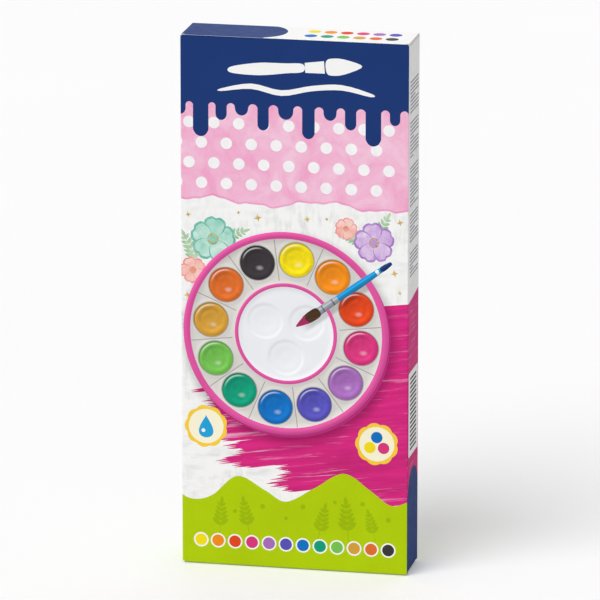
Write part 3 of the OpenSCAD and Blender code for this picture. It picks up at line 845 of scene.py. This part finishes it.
# Navy header that runs down in drips: each one's place, half width and drop
HEADER_Z, OVER_TOP = 219.0, 260
RUNS = [(-72, 2.6, 8), (-62, 3.2, 14), (-53, 2.5, 6), (-43.5, 3.6, 16), (-34, 2.6, 8), (-24.5, 3.1, 5.5),
        (-14.5, 2.6, 12), (-4, 3.5, 6.5), (6.5, 2.9, 15), (16.5, 3.0, 6), (26, 2.6, 10), (36.5, 3.6, 17),
        (46.5, 2.4, 7)]
BACK_RUNS = [(7, 3.0, 10), (17, 2.5, 6), (27.5, 3.6, 16), (38, 2.6, 8), (48, 3.1, 13), (58.5, 3.0, 6),
             (68.5, 2.6, 10), (79, 3.6, 17), (89.5, 2.5, 7), (98.5, 2.7, 12)]
for stretch, start, runs in zip(STRETCHES, (0, BACK_U), (RUNS, BACK_RUNS)):
    runs = [(start + u, half, drop) for u, half, drop in runs]
    lay("navy", "navy", down_to(drips(stretch, HEADER_Z, runs), OVER_TOP))

# Flowers, sprigs and sparkles on the white ground
sprig(-46, 146, 118, 1.0)
sprig(-33, 156, 20, 0.9)
flower("mint", -38, 155, 10.5, 10)
flower("peach", -47.5, 140, 6.2, 40)
sprig(38, 160, 60, 0.9)
sprig(30, 158, 165, 0.8)
flower("lilac", 37, 157, 9.4, 25)
flower("peach", 24, 163, 5.2, 0)
for x, y, r in ((-17, 166, 2.1), (6, 166.5, 1.7), (-26, 168, 1.2), (15, 167, 1.2), (49, 167, 1.8),
                (-50, 128, 1.9), (-49.5, 166, 1.6), (46.5, 143, 2.0), (49, 134, 1.2), (-62, 168, 1.8),
                (-72, 164, 1.3), (BACK_U + 12, 168.5, 1.5), (BACK_U + 50, 167.5, 1.3),
                (END_U - 8, 168, 1.8)):
    lay("gold", "gold", placed(star(r, 0.28), x, y, 12), placed(star(r * 0.62, 0.3), x, y, 57))

# Dry strokes behind the palette, running on to the right side: start, end, and height at the fold
STROKE_RISE, STROKE_W = 0.14, 16.5
for x0, x1, at_fold in ((-24, 90, 119), (-44, 94, 105.5), (-51, 89, 92), (-49, 93, 78.5),
                        (-38, 90, 65), (-16, 94, 52), (12, 90, 41)):
    y0, y1 = (at_fold + STROKE_RISE * (x - FOLD_X) for x in (x0, x1))
    lay("strokes", "stroke", *dry_stroke(x0, y0, x1, y1, STROKE_W))

# Round palette seen from above: a ring of pans with a mixing dish in its middle
PAN_R, TABLET_EDGE_R, TABLET_R = 8.5, 8.1, 7.8
lay("palette", "tray_dark", disc(PAL_X + 0.8, PAL_Y - 1.2, RING_OUT, 96))
lay("palette", "tray_pink", disc(PAL_X, PAL_Y, RING_OUT, 96))
lay("palette", "pan", disc(PAL_X, PAL_Y, RING_OUT - 3.2, 96))
ring, pans, first = PAN_RING
for k, paint in enumerate(PAINTS):
    angle = first - 360 / pans * k
    seam = angle + 180 / pans
    (x, y), (seam_x, seam_y) = (placed([(ring, 0)], PAL_X, PAL_Y, a)[0] for a in (angle, seam))
    lay("palette", "pan_dark", placed(block(-10.2, -0.22, 9.2, 0.22), seam_x, seam_y, seam))
    lay("palette", "pan_dark", disc(x, y, PAN_R))
    lay("paints", paint + "_dark", disc(x, y, TABLET_EDGE_R))
    lay("paints", paint + "_tablet", disc(x + 0.15, y - 0.25, TABLET_R))
lay("palette", "tray_pink", disc(PAL_X, PAL_Y, RING_IN + 1.3, 72))
lay("palette", "porcelain", disc(PAL_X, PAL_Y, RING_IN - 0.4, 72))

# Brush across the palette, its tip in the mixing dish
HANDLE = both_sides([(0, 0.9), (6, 1.25), (18, 1.75), (27, 1.5), (32, 1.25)]) + [(-0.8, 0)]
HANDLE_END = both_sides([(0.2, 0.9), (5, 1.2)]) + [(-0.8, 0)]
HAIR = both_sides([(41, 1.9), (45, 2.5), (49, 1.9), (54, 0)])
PAINTED_TIP = both_sides([(47.5, 2.2), (50, 1.6), (54.2, 0)]) + [(48.4, 0)]
for ink, outline in (
    ("handle", smooth(HANDLE, 4)),
    ("handle_end", smooth(HANDLE_END, 4)),
    ("handle_band", block(6.5, -1.1, 8.0, 1.1)),
    ("steel", both_sides([(30, -1.6), (41, -1.9)])),
    ("steel_dark", block(32.5, -1.6, 33.2, 1.6)),
    ("steel_dark", block(38.2, -1.8, 38.8, 1.8)),
    ("umber", smooth(HAIR, 4)),
    ("magenta_dark", smooth(PAINTED_TIP, 4)),
):
    lay("brush", ink, placed(outline, *BRUSH))

# Lime meadow round the foot, leaves tone on tone, and a row of ringed dots
FOOT_FLOOR = -3.2
HILLS = [(-71, 29), (-60, 36), (-49, 31), (-39, 33), (-27, 43), (-14, 37), (-4, 32), (9, 39), (23, 47),
         (35, 40), (45, 33), (FRONT_END, 35)]
BACK_HILLS = [(9, 41), (22, 44), (37, 34), (50, 31), (66, 41), (80, 43), (93, 31), (OFF_RIGHT - BACK_U, 26)]
for start, hills in (((OFF_LEFT, 26), HILLS),
                     ((BACK_START, 35), [(BACK_U + u, v) for u, v in BACK_HILLS])):
    lay("lime", "lime", down_to([start] + hills, FOOT_FLOOR))
for x, y, turn, size in (
    (-35, 19, 86, 0.95), (-22, 20, 100, 0.95), (12, 19, 78, 0.95), (25, 20, 94, 1.1),
    (37, 19.5, 104, 0.8), (-65, 6, 82, 1.2), (BACK_U + 14, 8, 84, 1.4), (BACK_U + 29, 5, 97, 1.3),
    (BACK_U + 47, 4, 80, 1.2), (BACK_U + 71, 7, 95, 1.5), (BACK_U + 86, 5, 82, 1.3),
):
    sprig(x, y, turn, size, "lime_leaves", "lime_dark")
for x, y, r in (
    (-28, 26, 1.0), (-15, 29, 1.2), (-4, 24, 0.9), (4, 30, 1.2), (19, 33, 0.9), (32, 33, 1.1),
    (44, 26, 1.2), (-57, 24, 1.2), (-73, 18, 1.0), (BACK_U + 38, 22, 1.3), (BACK_U + 58, 24, 1.1),
    (BACK_U + 98, 14, 1.3),
):
    lay("lime_leaves", "lime_dark", disc(x, y, r))
CHIP_X, CHIP_Z, CHIP_STEP = -44.0, 11.5, 8.0
for k, paint in enumerate(PAINTS):
    lay("chips", "white", disc(CHIP_X + CHIP_STEP * k, CHIP_Z, 3.5, 40))
    lay("chips", paint, disc(CHIP_X + CHIP_STEP * k, CHIP_Z, 2.8, 32))

# Two scalloped badges, with a drop of water and with three dabs of paint
DROP_BADGE, DAB_BADGE = (-41.5, 66), (38.5, 62)


def badge(x, y):
    lay("badges", "yolk", seal(x, y, 9.3, 0.8, 9))
    lay("badges", "cream", disc(x, y, 8.2))


badge(*DROP_BADGE)
lay("badges", "sky", placed(water_drop(4.9, 5.4), *DROP_BADGE))
lay("badges", "white", disc(DROP_BADGE[0] - 1.3, DROP_BADGE[1] - 2.0, 0.9, 16))
badge(*DAB_BADGE)
for dab, dx, dy in (("yellow", -3.2, -1.8), ("magenta", 3.2, -1.8), ("blue", 0, 3.2)):
    lay("badges", dab, disc(DAB_BADGE[0] + dx, DAB_BADGE[1] + dy, 2.7, 32))

# White brush over a painted line, in the navy header
WHITE_HANDLE = both_sides([(0, 0), (3, 1.7), (15, 2.9), (27, 2.3), (35, 1.8)])
WHITE_HAIR = both_sides([(46, 2.9), (50, 4.0), (55.5, 3.1), (62.5, 0)])
PAINTED_LINE = [(-34, 0), (-20, 1.6), (-6, -1.0), (8, 1.8), (22, 2.8), (35, 0.4), (36, 1.7), (22, 5.3),
                (8, 4.3), (-6, 1.6), (-20, 4.1), (-34, 1.2)]
for outline in (smooth(WHITE_HANDLE, 4), both_sides([(36, -2.3), (45, -2.9)]), smooth(WHITE_HAIR, 4)):
    lay("header_brush", "white", placed(outline, -31, 234.5, 4))
lay("header_brush", "white", placed(smooth(PAINTED_LINE, 4), 0, 224.5))

# Right side: small print, a striped panel and a navy band with a round top
SIDE_EDGE = 1.6                      # margin beside the folds
SIDE_IN, SIDE_OUT = RIGHT_U + SIDE_EDGE, RIGHT_END - SIDE_EDGE
for top, rows in ((232, 9), (213, 10), (192, 11), (170, 8), (152, 7)):
    small_print(SIDE_IN + 0.6, SIDE_OUT - 0.6, top, rows)
lay("panel", "bare", rounded(SIDE_IN - 0.9, 55.5, SIDE_OUT + 0.9, 95.5, 1.2))
STRIPE_Z, STRIPE_STEP, STRIPE_H = 58.3, 2.08, 1.05
for k in range(17):
    y = STRIPE_Z + STRIPE_STEP * k
    lay("bars", "dark", block(SIDE_IN + 2.8, y, SIDE_OUT - 2.8, y + STRIPE_H))
band = [(SIDE_IN - 2.2, -5), (SIDE_OUT + 2.2, -5)]
lay("navy", "navy", band + arc(RIGHT_U + FOLD_Y, 36, FOLD_Y + 0.6, 13, 0, 180, 30))

# Left side: small print
for top, rows in ((158, 12), (134, 10), (113, 14)):
    small_print(LEFT_U + SIDE_EDGE + 0.6, -RIGHT_U - SIDE_EDGE - 0.6, top, rows)

# Back: colour chart, small print and flowers
CHART_STEP, CHART_ROW = 23.4, 24
for k, paint in enumerate(PAINTS):
    x, y = BACK_U + 17.5 + CHART_STEP * (k % 4), 156 - CHART_ROW * (k // 4)
    lay("chart", paint + "_dark", disc(x, y, 8.0))
    lay("chart", paint, disc(x + 0.3, y - 0.35, 7.5))
    lay("chart", paint + "_light", disc(x + 1.1, y - 1.6, 3.4, 32, 0.6, -28))
    lay("bars", "grey", block(x - 6, y - 12.2, x + 6, y - 11.3))
for x in (BACK_U + 19, BACK_U + 61):
    small_print(x, x + 36.5, 87, 15, 1.9, 0.85)
flower("lilac", END_U - 21, 46, 8.4, 15)
flower("peach", END_U - 34, 42.5, 5.6, 50)
flower("mint", END_U - 10, 38.5, 6.0, 30)

# ---------- The lid's print ----------

lid_rows = fold_cuts(-FOLD_ARC) + [TOP_D - 0.1]
lid_rows += [TOP_D + ROOT_R * pi * k / 8 for k in range(9)]
lid_sheet = Sheet([((-60, w), (60, w)) for w in lid_rows], "lid_print_")
lid_sheet.strip(block(lid_lo.x, 0, lid_hi.x, TOP_D), "lid_board")
lid_sheet.strip(block(lid_lo.x, TOP_D, lid_hi.x, LID_END), None)
TIP_R = 7.0                          # the tuck tab's round corners
TIP_W = tab_lo.z + TIP_R - CARTON_H + FOLD_R - FOLD_ARC
lid_sheet.strip([(tab_hi.x, 0), (tab_lo.x, 0)]
                + arc(tab_lo.x + TIP_R, TIP_W, TIP_R, TIP_R, 180, 270, 8)
                + arc(tab_hi.x - TIP_R, TIP_W, TIP_R, TIP_R, 270, 360, 8), "tab_board")
lid_sheet.lay("ground", "bare", block(-60, -40, 60, 40))
TOP_MID = TOP_D / 2 + 0.2
PATCH_X, PATCH_R = -19.0, TOP_MID + 1.2
patch_end = arc(PATCH_X, TOP_MID, PATCH_R, PATCH_R, -90, 90, 30)
lid_sheet.lay("navy", "navy", [(-60, -2.6), (PATCH_X, -2.6)] + patch_end + [(-60, TOP_MID + PATCH_R)])
DOT_X, DOT_STEP, DOT_ROW, DOT_R = 5.8, 7.5, 8.9, 2.95
for k, paint in enumerate(PAINTS):
    dot = disc(DOT_X + DOT_STEP * (k % 6), TOP_MID + DOT_ROW * (0.5 - k // 6), DOT_R, 32)
    lid_sheet.lay("dots", paint, dot)

# ---------- Board ----------


def raw_board(t):
    """Uncoated grey back of folding board: fibres, flecks and a soft nap."""
    long_fibre = t.noise(1.6, 4.0, 0.6, t.stretched((0.25, 1, 1), (0.3, 0.2, 0.4)))
    cross_fibre = t.noise(1.6, 4.0, 0.6, t.stretched((1, 1, 0.25), (0.2, -0.3, 0.5)))
    fibre = t.plus(t.times(long_fibre, 0.5), t.times(cross_fibre, 0.5))
    colour = t.mix(t.ramp(fibre, 0.38, 0.62), rgb("#bcb6ab"), rgb("#d3cec4"))
    fleck = t.ramp(t.noise(2.6, 2.0, 0.4), 0.66, 0.70, 0.0, 0.55)
    return t.mix(fleck, colour, rgb("#857d72")), fibre


def board_back():
    t = Tree("raw_board")
    colour, fibre = raw_board(t)
    return t.finish(colour, t.ramp(fibre, 0.3, 0.7, 0.78, 0.9), t.bump(fibre, 0.5, 0.08), specular=0.2)


def board_cut():
    """Cut edge of the board: pale plies and crushed fibre."""
    t = Tree("cut_board")
    ply = t.noise(3.0, 3.0, 0.6)
    colour = t.mix(t.ramp(ply, 0.35, 0.65), rgb("#d9d5cd"), rgb("#ece9e3"))
    return t.finish(colour, t.ramp(ply, 0.3, 0.7, 0.8, 0.9), t.bump(ply, 0.5, 0.05), specular=0.15)


def flap_board(name, outside, tint):
    """Board flap: coated on the side that faces out, raw inside and on its cut edges."""
    t = Tree(name)
    raw, fibre = raw_board(t)
    coat = t.mix(t.ramp(t.noise(0.05), 0.3, 0.7), rgb(tint, 0.97), rgb(tint))
    facing = t.add("VectorMath", {0: t.coords["Normal"], 1: outside}, operation="DOT_PRODUCT")
    side = t.ramp(facing.outputs["Value"], 0.45, 0.55)
    roughness = t.mix(side, (0.85, 0.85, 0.85), (0.5, 0.5, 0.5))
    return t.finish(t.mix(side, raw, coat), roughness, t.bump(fibre, 0.3, 0.05), specular=0.25)


BOARD = {"board": board_back(), "cut": board_cut()}
STANDS_FOR = {
    "front_board": "front_panel", "right_board": "right_side_panel", "left_board": "left_side_panel",
    "back_board": "back_panel", "base_board": "bottom_outer_flap", "lid_board": "top_lid_panel",
    "tab_board": "top_tuck_tab",
}


def fold_up(sheet, wrap, body):
    """Makes a sheet's pieces: its board, which stands for the CAD's panels, and the print over it."""
    for (flat, pieces), depths, materials, edge in (
        (sheet.board(), (PRINT_T, BOARD_T), BOARD, "cut"),
        (sheet.print(), (0.0, PRINT_T), INKS, None),
    ):
        for name in sorted(pieces):
            piece = closed_shell(name, flat, pieces[name], wrap, depths, materials, edge)
            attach(piece, body)
            if name in STANDS_FOR:
                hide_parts(STANDS_FOR[name])


fold_up(print_sheet, wrap_sleeve, "carton")
fold_up(lid_sheet, wrap_lid, "top_lid")


def paint_node(node, material):
    """Gives a CAD node its material in every slot."""
    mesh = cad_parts[node].data
    for k in range(len(mesh.materials)):
        mesh.materials[k] = material
    if not mesh.materials:
        mesh.materials.append(material)


for flap, outside, tint in (
    ("top_dust_flap_left", (0, 0, 1), "#f3f1ef"),
    ("top_dust_flap_right", (0, 0, 1), "#f3f1ef"),
    ("bottom_dust_flap_left", (-0.7, 0, -0.7), "#b0cc10"),
    ("bottom_dust_flap_right", (0.7, 0, -0.7), "#203a78"),
    ("bottom_inner_flap", (0, 0.7, -0.7), "#b0cc10"),
):
    paint_node(flap, flap_board(flap + "_board", outside, tint))
paint_node("glue_flap", BOARD["board"])

# ---------- The paint box inside ----------


def moulded_plastic(name, tint, roughness, texture=0.12, subsurface=0.0):
    """Injection-moulded plastic: fine spark texture, soft sink marks, flow and handling scuffs."""
    t = Tree(name)
    flow = t.ramp(t.noise(0.03, distortion=1.2), 0.3, 0.7)
    colour = t.mix(flow, rgb(tint, 0.94), rgb(tint, 1.03))
    dust = t.ramp(t.noise(0.8, 5.0, 0.7), 0.6, 0.8, 0.0, 0.18)
    colour = t.mix(dust, colour, rgb("#e9e4e0"))
    scuff = t.noise(0.25, 5.0, 0.65, t.stretched((1, 0.5, 1), (0.4, 0.2, 0.7)))
    gloss = t.ramp(scuff, 0.40, 0.72, roughness, roughness + 0.12)
    normal = t.bump(t.noise(0.05, 2.0), 0.2, 0.4)
    normal = t.bump(t.noise(4.0, 2.0), texture, 0.02, normal)
    return t.finish(colour, gloss, normal, Subsurface_Weight=subsurface, Subsurface_Scale=0.002)


def pressed_paint(name, tint):
    """Pressed gouache: chalky, with fine grit, a used sheen here and there and a pressed grain."""
    t = Tree(name)
    cloud = t.ramp(t.noise(0.12, 5.0, 0.6), 0.3, 0.7)
    colour = t.mix(cloud, rgb(tint, 0.88), rgb(tint, 1.08))
    bloom = t.ramp(t.noise(0.5, 5.0, 0.75), 0.5, 0.8, 0.0, 0.22)
    colour = t.mix(bloom, colour, [0.5 + 0.5 * c for c in rgb(tint)])
    normal = t.bump(t.noise(0.25), 0.3, 0.15)
    normal = t.bump(t.noise(3.2, 4.0, 0.7), 0.4, 0.05, normal)
    return t.finish(colour, t.ramp(cloud, 0.3, 0.8, 0.78, 0.62), normal, specular=0.3)


def tube_foil():
    """Lacquered metal tube: bare at the crimp and the shoulder, a white band round its middle."""
    t = Tree("tube_foil")
    lo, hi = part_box("tube_body")
    along = t.maths("DIVIDE", t.minus(t.axis("X"), lo.x), hi.x - lo.x)
    place = t.plus(along, t.ramp(t.noise(0.2, 3.0), 0.0, 1.0, -0.001, 0.001))
    dents = t.noise(0.09, 4.0, 0.6)
    metal = t.mix(t.ramp(t.noise(0.6, 4.0), 0.3, 0.7), (0.55, 0.56, 0.58), (0.72, 0.73, 0.75))
    blue = t.mix(t.ramp(dents, 0.3, 0.7), rgb("#1f87c6"), rgb("#3ba7df"))
    white = t.mix(t.ramp(dents, 0.3, 0.7), rgb("#e6eef4"), rgb("#f6fafc"))
    band = t.times(t.ramp(place, 0.44, 0.45), t.ramp(place, 0.70, 0.71, 1.0, 0.0))
    lacquered = t.times(t.ramp(place, 0.21, 0.22), t.ramp(place, 0.915, 0.925, 1.0, 0.0))
    colour = t.mix(lacquered, metal, t.mix(band, blue, white))
    normal = t.bump(dents, 0.5, 0.9)
    normal = t.bump(t.noise(1.2, 3.0), 0.15, 0.05, normal)
    return t.finish(colour, t.ramp(t.noise(0.4, 3.0), 0.3, 0.7, 0.26, 0.4), normal,
                    Metallic=t.ramp(lacquered, 0.0, 1.0, 1.0, 0.15))


paint_node("paint_tray", moulded_plastic("tray_plastic", "#e2549d", 0.24))
paint_node("palette_lid", moulded_plastic("lid_plastic", "#f1f3f8", 0.22, 0.06, 0.05))
paint_node("tube_cap", moulded_plastic("cap_plastic", "#e4e3e1", 0.4, 0.2))
paint_node("tube_body", tube_foil())
pan_material = moulded_plastic("pan_plastic", "#d9d6d1", 0.42, 0.3)
for paint, tint in PAINTS.items():
    paint_node(f"pan_{paint}", pan_material)
    paint_node(f"paint_{paint}", pressed_paint(f"gouache_{paint}", tint))

# ---------- Floor, light and camera ----------

bpy.ops.mesh.primitive_plane_add(size=12, location=(0, 0, -0.0003))
floor = bpy.context.object
floor.name = "floor"
t = Tree("floor_paper")
tone = t.mix(t.ramp(t.noise(0.004, 2.0), 0.3, 0.7), (0.79, 0.79, 0.79), (0.80, 0.80, 0.80))
to_white = t.times(t.add("LightPath", {}).outputs["Is Camera Ray"], 0.17)
floor.data.materials.append(t.finish(
    tone, t.ramp(t.noise(0.01, 2.0), 0.3, 0.7, 0.75, 0.8), t.bump(t.noise(0.5, 2.0), 0.05, 0.1),
    specular=0.1, Emission_Color=(1, 1, 1), Emission_Strength=to_white))

AMBIENT = 0.40
studio = Tree("studio", "worlds")
rays = studio.add("LightPath", {}).outputs
seen = studio.plus(rays["Is Camera Ray"], rays["Is Glossy Ray"])
level = studio.ramp(studio.plus(seen, rays["Is Transmission Ray"]), 0.0, 1.0, AMBIENT, 1.0)
studio.fill(studio.nodes["Background"], {"Color": (1, 1, 1), "Strength": level})
bpy.context.scene.world = studio.owner


def soft_sun(name, towards_light, strength, angle):
    light = bpy.data.lights.new(name, "SUN")
    light.energy = strength
    light.angle = radians(angle)
    lamp = add_object(name, light)
    lamp.rotation_euler = Vector(towards_light).to_track_quat("Z", "Y").to_euler()


soft_sun("key", (-0.30, -0.535, 0.79), 2.0, 40)
soft_sun("back_fill", (0.0, 0.75, 0.66), 0.45, 60)

AZIMUTH, ELEVATION, DISTANCE = radians(11.8), radians(14.8), 3.0
VIEW_MM = 275.0                      # what the picture's side covers at the carton
back = Vector((sin(AZIMUTH) * cos(ELEVATION), -cos(AZIMUTH) * cos(ELEVATION),
               sin(ELEVATION)))
camera_data = bpy.data.cameras.new("camera")
camera_data.sensor_width = 36
camera_data.lens = camera_data.sensor_width * DISTANCE / (VIEW_MM * MM)
camera = add_object("camera", camera_data)
camera.location = Vector((0, 0, CARTON_H / 2 * MM)) + back * DISTANCE
camera.rotation_euler = back.to_track_quat("Z", "Y").to_euler()
bpy.context.scene.camera = camera
bpy.context.scene.view_settings.view_transform = "Standard"
bpy.context.view_layer.update()
